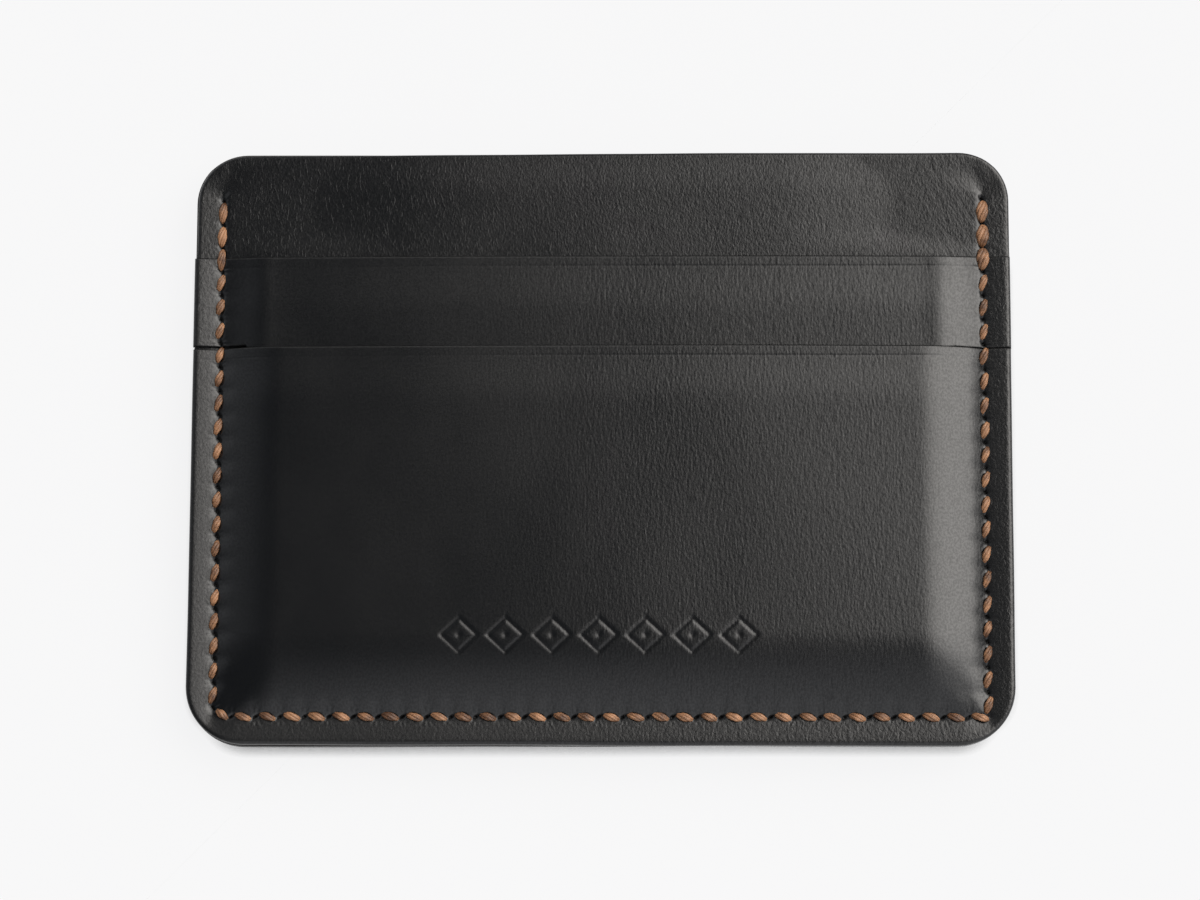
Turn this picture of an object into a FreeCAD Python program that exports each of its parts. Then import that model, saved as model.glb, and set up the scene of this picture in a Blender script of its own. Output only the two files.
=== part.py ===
import FreeCAD
import Part
import os

# A flat leather card holder lying on its back, front face up.
# Units are millimetres. +X is to the right across the holder, +Y runs up it towards the
# pocket mouths and the open top edge, and +Z is the front face's normal. The origin is the
# centre of the outline, on the surface that the holder rests on.
#
# The holder is built as two mirrored halves. Each half is a panel with two card pockets
# stacked on its outer face. The halves meet at the middle plane, where they leave a flat
# compartment for folded notes, and one waxed thread sews all the layers together in a U.
# Every half is modelled with its middle plane at z = 0 and its outer face towards +Z.

# Driving dimensions.
WIDTH = 100.0
HEIGHT = 73.4
TOP_CORNER_RADIUS = 6.3
BOTTOM_CORNER_RADIUS = 7.2
PANEL_LEATHER = 0.8
POCKET_LEATHER = 0.7

# An identity-format card, 85.60 x 53.98 x 0.76, the room that a pocket keeps for it, and how
# much of it shows above the upper mouth.
CARD_WIDTH = 85.6
CARD_HEIGHT = 53.98
CARD_ROOM = 0.82
CARD_SHOWING = 9.4
NOTE_ROOM = 0.8

# How far below the top edge each pocket mouth lies, and the crease pressed beside it.
UPPER_MOUTH_DROP = 13.4
LOWER_MOUTH_DROP = 24.8
CREASE_DROP = 1.35
CREASE_WIDTH = 0.35
CREASE_DEPTH = 0.15

# The U-shaped seam: its distance from the side and bottom edges, where it starts, and its
# stitches.
SEAM_SIDE_INSET = 3.4
SEAM_BOTTOM_INSET = 3.5
SEAM_START_DROP = 6.1
SIDE_STITCHES = 21
BOTTOM_STITCHES = 32
HOLE_ALONG = 0.8
HOLE_ACROSS = 1.0
HOLE_CLEARANCE = 0.1
STITCH_STAND = 0.45

# The raised middle of each layer: how far inside the seam its slope starts, and the slope's run.
SLOPE_START = 1.1
PANEL_SLOPE = 1.0
PANEL_FOOT_INSET = 0.5
SLOPE_PER_RISE = 0.92
SLOPE_THINNING = 0.3

# The upper pocket's stem under the lower pocket, and the hem that closes it.
STEM_SIDE_ROOM = 0.4
HEM_SLOPE = 1.5
HEM_WIDTH = 3.0
HEM_STITCHES = 27
HEM_STITCH_PITCH = 3.0
HEM_STITCH_STAND = 0.3
HEM_STITCH_BACK = 0.15

# A blind-pressed row of plain lozenges low on the front pocket.
LOZENGES = 7
LOZENGE_PITCH = 5.6
LOZENGE_HEIGHT = 5.2
LOZENGE_LINE = 0.4
LOZENGE_DEPTH = 0.15
LOZENGE_ROW_RISE = 13.1

# Places worked out from the dimensions above.
TOP = HEIGHT / 2
BOTTOM = -HEIGHT / 2
UPPER_MOUTH = TOP - UPPER_MOUTH_DROP
LOWER_MOUTH = TOP - LOWER_MOUTH_DROP
SEAM_X = WIDTH / 2 - SEAM_SIDE_INSET
SEAM_TOP = TOP - SEAM_START_DROP
SEAM_BOTTOM = BOTTOM + SEAM_BOTTOM_INSET
SLOPE_FOOT_X = SEAM_X - SLOPE_START
SLOPE_FOOT_Y = SEAM_BOTTOM + SLOPE_START
STEM_HALF_WIDTH = CARD_WIDTH / 2 + STEM_SIDE_ROOM
HEM_TOP = UPPER_MOUTH + CARD_SHOWING - CARD_HEIGHT
HEM_ROW = HEM_TOP - HEM_SLOPE - HEM_WIDTH / 2
LOZENGE_ROW = BOTTOM + LOZENGE_ROW_RISE

# Heights above the middle plane.
PANEL_UNDER = NOTE_ROOM / 2
PANEL_FACE = PANEL_UNDER + PANEL_LEATHER
UPPER_POCKET_UNDER = PANEL_FACE + CARD_ROOM
UPPER_POCKET_FACE = UPPER_POCKET_UNDER + POCKET_LEATHER
LOWER_POCKET_UNDER = UPPER_POCKET_FACE + CARD_ROOM
HALF_THICKNESS = LOWER_POCKET_UNDER + POCKET_LEATHER
BORDER_FACE = PANEL_LEATHER + POCKET_LEATHER


def box(x_low, x_high, y_low, y_high, z_low, z_high):
    """A rectangular block given by its limits."""
    corner = FreeCAD.Vector(x_low, y_low, z_low)
    return Part.makeBox(x_high - x_low, y_high - y_low, z_high - z_low, corner)


def outline_plate(y_low, y_high, z_low, thickness):
    """The band y_low..y_high of the holder's rounded outline, as a flat plate."""
    plate = box(-WIDTH / 2, WIDTH / 2, BOTTOM, TOP, z_low, z_low + thickness)
    upright = [edge for edge in plate.Edges if edge.BoundBox.ZLength > thickness / 2]
    upper = [edge for edge in upright if edge.CenterOfMass.y > 0]
    lower = [edge for edge in upright if edge.CenterOfMass.y < 0]
    bottom_rounded = plate.makeFillet(BOTTOM_CORNER_RADIUS, lower)
    top_rounded = plate.makeFillet(TOP_CORNER_RADIUS, upper)
    rounded = bottom_rounded.common(top_rounded)
    return rounded.common(box(-WIDTH, WIDTH, y_low, y_high, z_low, z_low + thickness))


def rectangle_wire(half_width, y_low, y_high, z):
    """A closed rectangle, symmetric about x = 0, at height z."""
    corners = [(-half_width, y_low), (half_width, y_low), (half_width, y_high), (-half_width, y_high)]
    points = [FreeCAD.Vector(x, y, z) for x, y in corners]
    return Part.makePolygon(points + points[:1])


def sloped_block(foot_x, foot_y, y_high, slope_x, slope_y, z_low, z_high):
    """A block that narrows as it rises at both sides and at its lower end, not at y_high."""
    foot = rectangle_wire(foot_x, foot_y, y_high, z_low)
    crown = rectangle_wire(foot_x - slope_x, foot_y + slope_y, y_high, z_high)
    return Part.makeLoft([foot, crown], True, True)


def raised_sheet(y_low, y_high, foot_x, foot_y, slope_x, slope_y, z_border, thickness, rise):
    """A sheet of leather, flat at its border and raised in the middle to leave room below."""
    border = outline_plate(y_low, y_high, z_border, thickness)
    face = z_border + thickness
    bulge = sloped_block(foot_x, foot_y, y_high, slope_x, slope_y, face, face + rise)
    under_foot_y = foot_y + SLOPE_THINNING if slope_y else foot_y - 1
    room = sloped_block(foot_x - SLOPE_THINNING, under_foot_y, y_high + 1,
                        slope_x, slope_y, z_border, z_border + rise)
    return border.fuse(bulge).cut(room)


def press_line(sheet, x_half, y_low, y_high, depth):
    """Press a band of the sheet's outer face down by depth."""
    band = sheet.common(box(-x_half, x_half, y_low, y_high, -HALF_THICKNESS, 2 * HALF_THICKNESS))
    lowered = band.translated(FreeCAD.Vector(0, 0, -depth))
    return sheet.cut(band.cut(lowered))


def creased(sheet, mouth):
    """Add the decorative crease that runs beside a pocket mouth from edge to edge."""
    crease_top = mouth - CREASE_DROP
    return press_line(sheet, WIDTH, crease_top - CREASE_WIDTH, crease_top, CREASE_DEPTH)


def hole(x, y, size_x, size_y):
    """A cutting block for one stitch hole, through all the layers."""
    return box(x - size_x / 2, x + size_x / 2, y - size_y / 2, y + size_y / 2,
               -HALF_THICKNESS, HALF_THICKNESS)


def seam_holes():
    """The slits that the U-shaped seam passes through, as one group of cutting blocks."""
    cutters = []
    for y in side_hole_places():
        for x in (-SEAM_X, SEAM_X):
            cutters.append(hole(x, y, HOLE_ACROSS, HOLE_ALONG))
    for x in bottom_hole_places()[1:-1]:
        cutters.append(hole(x, SEAM_BOTTOM, HOLE_ALONG, HOLE_ACROSS))
    return Part.makeCompound(cutters)


def spaced(start, end, stitches):
    """Hole places along a straight run of seam, one more than its stitches."""
    return [start + (end - start) * i / stitches for i in range(stitches + 1)]


def side_hole_places():
    return spaced(SEAM_BOTTOM, SEAM_TOP, SIDE_STITCHES)


def bottom_hole_places():
    return spaced(-SEAM_X, SEAM_X, BOTTOM_STITCHES)


def hem_hole_places():
    half_run = HEM_STITCHES * HEM_STITCH_PITCH / 2
    return spaced(-half_run, half_run, HEM_STITCHES)


def hem_holes():
    """The slits of the hem seam, through the upper pocket's hem and the panel."""
    return Part.makeCompound([hole(x, HEM_ROW, HOLE_ALONG, HOLE_ACROSS) for x in hem_hole_places()])


def panel():
    """The inner sheet of a half: it spans the whole outline and lines the note compartment."""
    foot_x = SLOPE_FOOT_X - PANEL_FOOT_INSET
    foot_y = SLOPE_FOOT_Y + PANEL_FOOT_INSET
    return raised_sheet(BOTTOM, TOP, foot_x, foot_y, PANEL_SLOPE, PANEL_SLOPE,
                        0, PANEL_LEATHER, PANEL_UNDER)


def upper_pocket():
    """A T-shaped sheet: its bar reaches the side seams, and its narrower stem hangs behind the
    lower pocket and is hemmed to the panel, where a card's lower edge comes to rest."""
    rise = UPPER_POCKET_UNDER - PANEL_LEATHER
    bar = raised_sheet(LOWER_MOUTH, UPPER_MOUTH, SLOPE_FOOT_X, LOWER_MOUTH, rise * SLOPE_PER_RISE, 0,
                       PANEL_LEATHER, POCKET_LEATHER, rise)
    hem_foot = HEM_TOP - HEM_SLOPE
    hem_end = hem_foot - HEM_WIDTH
    profile = [
        (LOWER_MOUTH, UPPER_POCKET_FACE),
        (LOWER_MOUTH, UPPER_POCKET_UNDER),
        (HEM_TOP, UPPER_POCKET_UNDER),
        (hem_foot, PANEL_FACE),
        (hem_end, PANEL_FACE),
        (hem_end, PANEL_FACE + POCKET_LEATHER),
        (hem_foot - SLOPE_THINNING, PANEL_FACE + POCKET_LEATHER),
        (HEM_TOP - SLOPE_THINNING, UPPER_POCKET_FACE),
    ]
    points = [FreeCAD.Vector(-STEM_HALF_WIDTH, y, z) for y, z in profile]
    side = Part.Face(Part.makePolygon(points + points[:1]))
    stem = side.extrude(FreeCAD.Vector(2 * STEM_HALF_WIDTH, 0, 0))
    return creased(bar.fuse(stem).removeSplitter(), UPPER_MOUTH)


def lower_pocket():
    """The outer sheet of a half, stitched down on three sides and open at its mouth."""
    rise = LOWER_POCKET_UNDER - PANEL_LEATHER
    slope = rise * SLOPE_PER_RISE
    sheet = raised_sheet(BOTTOM, LOWER_MOUTH, SLOPE_FOOT_X, SLOPE_FOOT_Y, slope, slope,
                         PANEL_LEATHER, POCKET_LEATHER, rise)
    return creased(sheet, LOWER_MOUTH)


def lozenge(centre_x, half_height):
    """A lozenge-shaped cutting block that reaches down to the depth of the pressing."""
    half_width = half_height * LOZENGE_PITCH / LOZENGE_HEIGHT
    tips = [(centre_x + half_width, LOZENGE_ROW), (centre_x, LOZENGE_ROW + half_height),
            (centre_x - half_width, LOZENGE_ROW), (centre_x, LOZENGE_ROW - half_height)]
    points = [FreeCAD.Vector(x, y, HALF_THICKNESS - LOZENGE_DEPTH) for x, y in tips]
    face = Part.Face(Part.makePolygon(points + points[:1]))
    return face.extrude(FreeCAD.Vector(0, 0, 2 * LOZENGE_DEPTH))


def ornamented(sheet):
    """Press a row of line-drawn lozenges into the sheet's outer face."""
    half_height = LOZENGE_HEIGHT / 2 - LOZENGE_LINE
    for i in range(LOZENGES):
        centre_x = (i - (LOZENGES - 1) / 2) * LOZENGE_PITCH
        ring = lozenge(centre_x, half_height).cut(lozenge(centre_x, half_height - LOZENGE_LINE))
        sheet = sheet.cut(ring)
    return sheet


def seam_level(y):
    """The height of the leather's face beside the seam: one layer above the upper pocket."""
    return PANEL_LEATHER if y > UPPER_MOUTH else BORDER_FACE


def stitched_run(places, levels, stand_front, stand_back, width, place_point, across):
    """A run of thread: a stitch on each face between every two holes, joined through the holes.

    places are the holes along the run, and levels holds the (lower, upper) heights of the leather
    under each stitch. place_point turns a place along the run and a height into a point, and
    across is the direction of the thread's width."""
    half_post = HOLE_ALONG / 2 - HOLE_CLEARANCE
    bite = (places[1] - places[0]) / 5
    front = []
    back = []
    windows = []
    for (start, end), (low, high) in zip(zip(places, places[1:]), levels):
        crown = high + stand_front
        foot = low - stand_back
        front += [(start, high), (start + bite, crown), (end - bite, crown), (end, high)]
        back += [(start, low), (start + bite, foot), (end - bite, foot), (end, low)]
        windows.append([(start + half_post, low), (end - half_post, low),
                        (end - half_post, high), (start + half_post, high)])
    front[0] = (front[0][0] - half_post, front[0][1])
    back[0] = (back[0][0] - half_post, back[0][1])
    front[-1] = (front[-1][0] + half_post, front[-1][1])
    back[-1] = (back[-1][0] + half_post, back[-1][1])

    def wire(corners):
        points = []
        for s, z in corners:
            point = place_point(s, z) - across * (width / 2)
            if not points or point.distanceToPoint(points[-1]) > 1e-6:
                points.append(point)
        return Part.makePolygon(points + points[:1])

    outer = Part.Face(wire(front + back[::-1]))
    holes = [Part.Face(wire(window)) for window in windows]
    return outer.cut(Part.makeCompound(holes)).extrude(across * width)


def saddle_stitch_thread():
    """The one thread of the U-shaped seam: down the left side, along the bottom, up the right."""
    side_places = side_hole_places()
    side_levels = []
    for low_end, high_end in zip(side_places, side_places[1:]):
        level = max(seam_level(low_end), seam_level(high_end))
        side_levels.append((-level, level))
    bottom_levels = [(-BORDER_FACE, BORDER_FACE)] * BOTTOM_STITCHES
    width = HOLE_ACROSS - 2 * HOLE_CLEARANCE
    runs = []
    for x in (-SEAM_X, SEAM_X):
        runs.append(stitched_run(side_places, side_levels, STITCH_STAND, STITCH_STAND, width,
                                 lambda s, z, x=x: FreeCAD.Vector(x, s, z), FreeCAD.Vector(1, 0, 0)))
    bottom = stitched_run(bottom_hole_places(), bottom_levels, STITCH_STAND, STITCH_STAND, width,
                          lambda s, z: FreeCAD.Vector(s, SEAM_BOTTOM, z), FreeCAD.Vector(0, 1, 0))
    return bottom.fuse(runs)


def hem_thread():
    """The short straight seam that holds the upper pocket's hem to the panel."""
    levels = [(PANEL_UNDER, PANEL_FACE + POCKET_LEATHER)] * HEM_STITCHES
    return stitched_run(hem_hole_places(), levels, HEM_STITCH_STAND, HEM_STITCH_BACK,
                        HOLE_ACROSS - 2 * HOLE_CLEARANCE,
                        lambda s, z: FreeCAD.Vector(s, HEM_ROW, z), FreeCAD.Vector(0, 1, 0))


def half_pieces():
    """The four pieces of one half, with its middle plane at z = 0."""
    seam = seam_holes()
    hem = hem_holes()
    return {
        "panel": panel().cut(seam).cut(hem),
        "upper_pocket": upper_pocket().cut(seam).cut(hem),
        "lower_pocket": lower_pocket().cut(seam),
        "hem_thread": hem_thread(),
    }


def main():
    os.makedirs("parts", exist_ok=True)
    middle = FreeCAD.Vector(0, 0, 0)
    half = half_pieces()
    nodes = {"saddle_stitch_thread": saddle_stitch_thread()}
    for name, shape in half.items():
        nodes["back_" + name] = shape.mirror(middle, FreeCAD.Vector(0, 0, 1))
        nodes["front_" + name] = ornamented(shape) if name == "lower_pocket" else shape
    for name, shape in nodes.items():
        placed = shape.translated(FreeCAD.Vector(0, 0, HALF_THICKNESS))
        solid = placed.Solids[0]
        print(name, "solids", len(placed.Solids), "valid", solid.isValid(), "mm3", round(solid.Volume, 1))
        solid.exportStep("parts/" + name + ".step")


main()
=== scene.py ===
import math

import bmesh
import bpy
import numpy as np
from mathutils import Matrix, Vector


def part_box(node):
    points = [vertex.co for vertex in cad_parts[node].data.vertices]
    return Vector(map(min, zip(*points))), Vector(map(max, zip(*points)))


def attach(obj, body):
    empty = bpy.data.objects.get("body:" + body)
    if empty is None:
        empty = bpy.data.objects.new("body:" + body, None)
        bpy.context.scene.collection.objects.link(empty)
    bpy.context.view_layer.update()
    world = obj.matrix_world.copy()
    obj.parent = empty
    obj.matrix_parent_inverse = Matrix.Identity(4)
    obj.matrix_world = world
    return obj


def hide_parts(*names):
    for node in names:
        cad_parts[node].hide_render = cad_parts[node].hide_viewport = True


# A black leather card holder, dressed around its CAD frame. The scene is in metres, but shapes are
# worked out in millimetres, in the frame's own axes: +X right, +Y towards the pocket mouths, +Z up.
# Each half of the holder is worked out with its middle plane at height 0 and its face upwards.

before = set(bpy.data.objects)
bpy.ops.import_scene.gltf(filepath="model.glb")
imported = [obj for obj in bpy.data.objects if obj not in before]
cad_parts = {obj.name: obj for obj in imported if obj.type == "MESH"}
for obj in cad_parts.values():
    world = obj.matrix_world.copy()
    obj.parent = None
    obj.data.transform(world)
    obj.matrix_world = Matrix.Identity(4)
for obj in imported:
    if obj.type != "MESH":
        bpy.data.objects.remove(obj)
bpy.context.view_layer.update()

MM = 0.001


def node_box(name):
    """A CAD node's lowest and highest corners, in millimetres."""
    low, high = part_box(name)
    return np.array(low) / MM, np.array(high) / MM


# Sizes and places read from the frame.
panel_low, panel_high = node_box("front_panel")
upper_low, upper_high = node_box("front_upper_pocket")
lower_low, lower_high = node_box("front_lower_pocket")
thread_low, thread_high = node_box("saddle_stitch_thread")
hem_low, hem_high = node_box("front_hem_thread")
MIDDLE = panel_low[2]
HALF_WIDTH = panel_high[0]
TOP = panel_high[1]
BOTTOM = panel_low[1]
UPPER_MOUTH = upper_high[1]
LOWER_MOUTH = lower_high[1]
STEM_END = upper_low[1]
PANEL_THICKNESS = lower_low[2] - MIDDLE
PANEL_FACE = panel_high[2] - MIDDLE
UPPER_FACE = upper_high[2] - MIDDLE
LOWER_FACE = lower_high[2] - MIDDLE

# Sizes of the leather work that the frame's boxes do not give.
TOP_CORNER_RADIUS = 6.3
BOTTOM_CORNER_RADIUS = 7.2
POCKET_THICKNESS = 0.7
STEM_HALF_WIDTH = 43.2
HEM_TOP = STEM_END + 4.5
HEM_FOOT = STEM_END + 3.0
THREAD_HALF_WIDTH = 0.4
THREAD_OVERRUN = 0.3
SEAM_X = thread_high[0] - THREAD_HALF_WIDTH
SEAM_BOTTOM = thread_low[1] + THREAD_HALF_WIDTH
SEAM_TOP = thread_high[1] - THREAD_OVERRUN
SIDE_STITCHES = 21
BOTTOM_STITCHES = 32
HEM_STITCHES = 27
DOUBLED_STITCHES = 3
LEFT_FOOT_RISE = 1.1
FIRST_BOTTOM_STITCH = 2.3
LAST_STITCH_OVERRUN = 0.5
BOTTOM_PITCH = (2 * SEAM_X + LAST_STITCH_OVERRUN - FIRST_BOTTOM_STITCH) / (BOTTOM_STITCHES - 1)

# How the sewn leather is shaped.
SEAM_SQUEEZE = 0.27
HOLE_TUG = 0.22
BORDER_TILT_WIDTH = 2.7
RISE_RUN = 8
UPPER_RISE_RUN = 5.8
LOWER_SIDE_RUN = 7.8
LOWER_BOTTOM_RUN = 10
WRINKLE_HEIGHT = 0.028
SLIT_HALF_LENGTH = 0.58
SLIT_FADE_ALONG = 0.48
SLIT_FADE_ACROSS = 0.13
SLIT_DEPTH_SHARE = 0.65
SIDE_SLIT_ANGLE = math.radians(35)
BOTTOM_SLIT_ANGLE = math.radians(30)
CREASE_DROP = 1.35
CREASE_DEPTH = 0.024
LIP_STAND = 0.008
MOUTH_DIP = 0.28
MOUTH_DIP_LENGTH = 7.0

# The blind-pressed row of lozenges.
LOZENGES = 7
LOZENGE_PITCH = 5.6
LOZENGE_HALF_WIDTH = 2.15
LOZENGE_HALF_HEIGHT = 2.0
LOZENGE_ROW = BOTTOM + 13.1
LOZENGE_DEPTH = 0.078
LOZENGE_LINE = 0.2
LOZENGE_DOT = 0.34
ORNAMENTED = "front_lower_pocket"

# How finely the sheets are gridded. The grid is halved inside each of these distances from the seam.
GRID_STEP = 0.7
FINE_ZONES = (2.4, 1.1)
EDGE_STEPS = (0.0, 0.02, 0.07, 0.15, 0.26, 0.4, 0.6, 0.85)
CREASE_STEPS = (-0.32, -0.2, -0.1, 0.0, 0.1, 0.2, 0.32)
STEM_EDGE_STEP = 0.12

# How a stitch lies. Its plies plunge at both ends and swell between them.
PLUNGE_SHARE = 0.14
SWELL_POWER = 0.62
SHOULDER_DROP = 0.10
THIN_SHARE = 0.34
SWOLLEN_SHARE = 0.66
PLY_RADIUS_SHARE = 0.62
PLY_OVERLAP = 0.115
PLY_SPREAD = 0.54
PLY_TURN = 2.2
PLY_FLATNESS = 0.8
SPREAD_FLATNESS = 0.5

# How much the stitches of the U-shaped seam differ from each other.
STITCH_SEED = 5
PLACE_JITTER = 0.05
STITCH_WIDTHS = (0.84, 0.96)
STITCH_ARCHES = (0.24, 0.32)
STITCH_TWIST = 0.6
STITCH_PLIES = 4
DOUBLED_PLIES = 6
DOUBLED_WIDER_LEFT = 1.15
DOUBLED_WIDER_RIGHT = 1.6


# ---------------------------------------------------------------- small shape helpers

def smooth(t):
    """0 below t = 0, 1 above t = 1, and a smooth step between."""
    t = np.clip(t, 0, 1)
    return t * t * (3 - 2 * t)


def bell(t):
    """A bump of height 1 at t = 0 that dies away by |t| = 2."""
    return np.exp(-t * t)


RIPPLE_WAVES = 6


def ripple(x, y, seed, wavelength):
    """A gentle wavy field between about -1 and 1, the same each run for the same seed."""
    draw = np.random.default_rng(seed)
    total = np.zeros_like(np.asarray(x, float))
    for _ in range(RIPPLE_WAVES):
        turn = draw.uniform(0, 2 * math.pi)
        length = wavelength * draw.uniform(0.7, 1.5)
        phase = draw.uniform(0, 2 * math.pi)
        total += np.sin((x * math.cos(turn) + y * math.sin(turn)) * 2 * math.pi / length + phase)
    return total / 4


def round_over(distance, radius):
    """How far a rounded edge has dropped at a distance in from the edge."""
    gap = np.clip(radius - distance, 0, radius)
    return radius - np.sqrt(radius * radius - gap * gap)


def corner_radius(y):
    """The radius of the outline's corners in the half of the holder that y is in."""
    return np.where(np.asarray(y) < 0, BOTTOM_CORNER_RADIUS, TOP_CORNER_RADIUS)


def outline_distance(x, y):
    """Distance in from the rounded outline, and the outward direction there."""
    radius = corner_radius(y)
    corner_x = np.abs(x) - (HALF_WIDTH - radius)
    corner_y = np.abs(y) - (TOP - radius)
    reach = np.hypot(np.maximum(corner_x, 0), np.maximum(corner_y, 0))
    flat = np.minimum(np.maximum(corner_x, corner_y), 0)
    in_corner = (corner_x > 0) & (corner_y > 0)
    sideways = np.where(in_corner, corner_x / np.maximum(reach, 1e-9), (corner_x > corner_y) * 1.0)
    lengthways = np.where(in_corner, corner_y / np.maximum(reach, 1e-9), (corner_x <= corner_y) * 1.0)
    return radius - reach - flat, sideways * np.sign(x), lengthways * np.sign(y)


# ---------------------------------------------------------------- the seam

def side_row(x):
    """Where the row of holes on the side of x starts, near the corner, and its pitch upwards."""
    foot = SEAM_BOTTOM + np.where(np.asarray(x) < 0, LEFT_FOOT_RISE, 0.0)
    return foot, (SEAM_TOP - foot) / SIDE_STITCHES


def side_holes(x):
    """Heights along Y of the holes on the side of x, from the corner up."""
    foot, pitch = side_row(x)
    return foot + pitch * np.arange(SIDE_STITCHES + 1)


def bottom_holes():
    """Places along X of the bottom seam's holes. The first stitch is a short one."""
    even = SEAM_X + LAST_STITCH_OVERRUN - BOTTOM_PITCH * np.arange(BOTTOM_STITCHES)
    return np.append(-SEAM_X, even[::-1])


def seam_inset(x, y, rounding=0.6):
    """Distance inside the U-shaped seam line, negative outside it, with its corners rounded off."""
    from_side = SEAM_X - np.abs(x)
    from_bottom = y - SEAM_BOTTOM
    blend = np.clip(0.5 + (from_side - from_bottom) / (2 * rounding), 0, 1)
    inside = from_bottom * blend + from_side * (1 - blend) - rounding * blend * (1 - blend)
    outside = -np.hypot(np.minimum(from_side, 0), np.minimum(from_bottom, 0))
    return np.where(np.minimum(from_side, from_bottom) < 0, outside, np.maximum(inside, 0))


def nearest_hole(x, y):
    """Offsets from the nearest hole of the seam, and whether it belongs to a side."""
    foot, pitch = side_row(x)
    side_index = np.clip(np.round((y - foot) / pitch), 0, SIDE_STITCHES)
    last = SEAM_X + LAST_STITCH_OVERRUN
    bottom_index = np.clip(np.round((last - x) / BOTTOM_PITCH), 1, BOTTOM_STITCHES - 1)
    side = x - np.where(x < 0, -SEAM_X, SEAM_X), y - (foot + side_index * pitch)
    bottom = x - (last - bottom_index * BOTTOM_PITCH), y - SEAM_BOTTOM
    on_side = np.hypot(*side) < np.hypot(*bottom)
    return np.where(on_side, side[0], bottom[0]), np.where(on_side, side[1], bottom[1]), on_side


def slit_shape(x, y):
    """1 inside the slanted slits that the thread goes through, falling to 0 around them."""
    dx, dy, on_side = nearest_hole(x, y)
    along_x = np.where(on_side, -math.sin(SIDE_SLIT_ANGLE), math.cos(BOTTOM_SLIT_ANGLE))
    along_y = np.where(on_side, math.cos(SIDE_SLIT_ANGLE), math.sin(BOTTOM_SLIT_ANGLE))
    along = dx * along_x + dy * along_y
    across = dx * along_y - dy * along_x
    return bell(across / SLIT_FADE_ACROSS) * np.exp(-(along / SLIT_FADE_ALONG) ** 4)


def seam_presence(y):
    """1 along the seam, fading out just above its top ends."""
    return smooth((SEAM_TOP + 1.6 - y) / 1.8)


def valley_presence(y):
    """1 along the seam, fading out slowly towards the holder's top corners."""
    return smooth((SEAM_TOP + 5.4 - y) / 4.8)


def valley_depth(x, y):
    """1 beside the side seams, and less beside the bottom seam, whose border lies flatter."""
    along_bottom = smooth((SEAM_X - np.abs(x)) / 3) * smooth((SEAM_BOTTOM + 3 - y) / 3)
    return 1 - 0.6 * along_bottom


def squeeze(x, y, inner):
    """The share of its thickness that the leather loses beside the seam, inner being how much
    of the valley there is on the seam's inner side."""
    inset = seam_inset(x, y)
    dx, dy, on_side = nearest_hole(x, y)
    along = np.where(on_side, dy, dx)
    pull = bell(along / 0.75)
    outside = np.clip(1 + inset / BORDER_TILT_WIDTH, 0, 1) ** 1.15
    unsewn = 4 * smooth((y - SEAM_TOP - 0.4) / 4)
    gentle = bell(inset / (1.05 + 0.25 * pull + unsewn))
    steep = bell(inset / (0.35 + unsewn))
    valley = np.where(inset < 0, outside, inner * gentle + (1 - inner) * steep)
    tug = HOLE_TUG * pull * bell(inset / 0.6) * seam_presence(y)
    return SEAM_SQUEEZE * valley_presence(y) * valley_depth(x, y) * (valley + tug)


def radiating_wrinkles(x, y):
    """Little ridges that fan out from each hole where the thread pulls the leather."""
    dx, dy, _ = nearest_hole(x, y)
    reach = np.hypot(dx, dy)
    turn = np.arctan2(dy, dx)
    strength = bell((reach - 0.75) / 0.45) * (0.6 + 0.4 * ripple(x, y, seed=71, wavelength=5))
    fan = np.sin(9 * turn + ripple(x, y, seed=72, wavelength=4))
    return WRINKLE_HEIGHT * strength * fan * seam_presence(y)


# ---------------------------------------------------------------- leather sheets

def lift(inset, run):
    """How far a sheet has risen from the seam, 0, to its raised middle, 1."""
    return 1 - (1 - np.clip(inset / run, 0, 1)) ** 2.0


def panel_under(x, y):
    """The inner face of a panel, which lines the note compartment."""
    rise = PANEL_FACE - PANEL_THICKNESS
    closing = 0.2 * smooth((y - TOP + 5) / 5)
    opened = smooth((y - SEAM_TOP + 2) / 6)
    flatter = 0.7 * smooth((np.abs(x) - 22) / 20) * smooth((y - UPPER_MOUTH - 0.5) / 3)
    return (rise - closing) * (1 - flatter) * lift(seam_inset(x, y) + 2 * opened, RISE_RUN)


def upper_under(x, y):
    """The inner face of the upper pocket, down to the hem where it meets the panel."""
    crown = UPPER_FACE - POCKET_THICKNESS
    hem = smooth((y - HEM_FOOT) / (HEM_TOP - HEM_FOOT))
    dip = MOUTH_DIP * smooth((y - UPPER_MOUTH + MOUTH_DIP_LENGTH) / MOUTH_DIP_LENGTH)
    raised = PANEL_FACE + (crown - PANEL_FACE) * hem - dip
    return PANEL_THICKNESS + (raised - PANEL_THICKNESS) * smooth(seam_inset(x, y) / UPPER_RISE_RUN)


def lower_under(x, y):
    """The inner face of the lower pocket."""
    crown = LOWER_FACE - POCKET_THICKNESS
    dip = MOUTH_DIP * smooth((y - LOWER_MOUTH + MOUTH_DIP_LENGTH) / MOUTH_DIP_LENGTH)
    rise = crown - PANEL_THICKNESS - dip
    from_side = np.maximum(SEAM_X - np.abs(x), 0)
    across = 0.85 * lift(from_side, LOWER_SIDE_RUN) + 0.15 * smooth(from_side / LOWER_SIDE_RUN)
    return PANEL_THICKNESS + rise * across * lift(np.maximum(y - SEAM_BOTTOM, 0), LOWER_BOTTOM_RUN)


def sag(kind, x, y):
    """How much lower a sheet lies towards its sides than along its middle."""
    amount = SHEETS[kind]["sag"]
    if kind == "upper_pocket":
        amount = amount + 0.24 * smooth((y - HEM_FOOT) / 4)
    return amount * (x / HALF_WIDTH) ** 2 * lift(seam_inset(x, y), RISE_RUN)


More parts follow.
